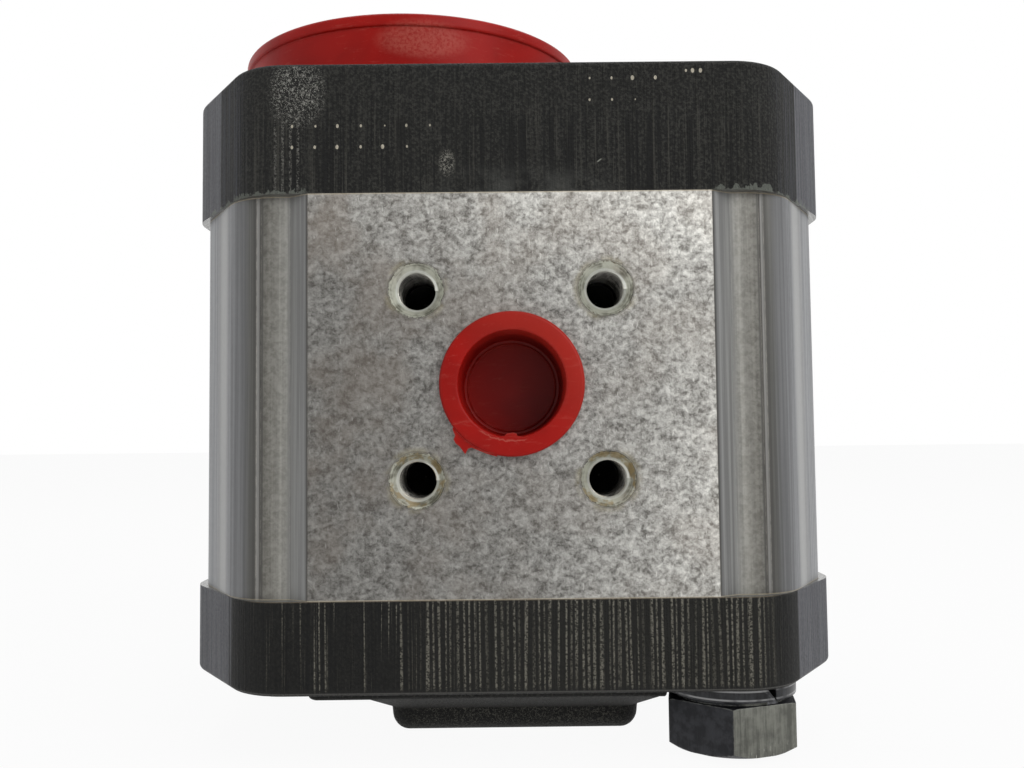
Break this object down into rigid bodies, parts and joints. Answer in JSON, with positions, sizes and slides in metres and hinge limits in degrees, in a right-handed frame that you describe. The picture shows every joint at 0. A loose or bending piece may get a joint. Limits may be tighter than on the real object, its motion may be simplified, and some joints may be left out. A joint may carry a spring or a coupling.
{
  "type": "hydraulic gear pump",
  "caption": "External gear pump: cast iron flange with register, aluminium body with flange ports, rear cover, through bolts, meshing gears and removable transport caps.",
  "frame": {"origin": "drive shaft axis on the flange's mounting face", "axes": "+Z out along the drive shaft, +X towards the idler gear, -Y out of the pressure port"},
  "size_m": [0.0919, 0.087, 0.1055],
  "materials": {
    "cast_iron": "rough",
    "aluminium": "satin",
    "block_aluminium": "satin",
    "steel": "satin",
    "dark_steel": "satin",
    "bush_bronze": "satin",
    "seal_rubber": "matte",
    "white_plastic": "matte",
    "red_plastic": "satin"
  },
  "bodies": {
    "casing": {"front_flange": "cast_iron", "pump_body": "aluminium", "rear_cover": "cast_iron", "front_bearing_block": "block_aluminium", "rear_bearing_block": "block_aluminium", "front_drive_bush": "bush_bronze", "front_idler_bush": "bush_bronze", "rear_drive_bush": "bush_bronze", "rear_idler_bush": "bush_bronze", "front_pressure_seal": "seal_rubber", "rear_pressure_seal": "seal_rubber", "front_backup_strips": "white_plastic", "rear_backup_strips": "white_plastic", "front_body_seal": "seal_rubber", "rear_body_seal": "seal_rubber", "front_dowel_pins": "steel", "rear_dowel_pins": "steel", "through_bolts": "dark_steel", "spring_washers": "dark_steel", "shaft_seal": "seal_rubber", "seal_garter_spring": "steel", "seal_retaining_ring": "dark_steel", "pilot_o_ring": "seal_rubber"},
    "drive_shaft": {"drive_gear": "steel"},
    "idler_shaft": {"idler_gear": "steel"},
    "coupling": {"coupling_disc": "steel"},
    "register_cap": {"pilot_cap": "red_plastic"},
    "pressure_plug": {"pressure_port_plug": "red_plastic"},
    "suction_plug": {"suction_port_plug": "red_plastic"}
  },
  "joints": [
    {"name": "drive_spin", "type": "hinge", "parent": "casing", "child": "drive_shaft", "pos_m": [0, 0, 0], "axis": [0, 0, 1], "continuous": true},
    {"name": "idler_spin", "type": "hinge", "parent": "casing", "child": "idler_shaft", "pos_m": [0.0325, 0, 0], "axis": [0, 0, 1], "continuous": true},
    {"name": "coupling_float", "type": "slide", "parent": "drive_shaft", "child": "coupling", "axis": [1, 0, 0], "range_m": [-0.0004, 0.0004]},
    {"name": "pilot_cap_lift", "type": "slide", "parent": "casing", "child": "register_cap", "axis": [0, 0, 1], "range_m": [0, 0.03]},
    {"name": "pressure_plug_pull", "type": "slide", "parent": "casing", "child": "pressure_plug", "axis": [0, -1, 0], "range_m": [0, 0.03]},
    {"name": "suction_plug_pull", "type": "slide", "parent": "casing", "child": "suction_plug", "axis": [0, 1, 0], "range_m": [0, 0.03]}
  ],
  "couplings": [
    {"joint": "idler_spin", "follows": "drive_spin", "ratio": -1}
  ]
}
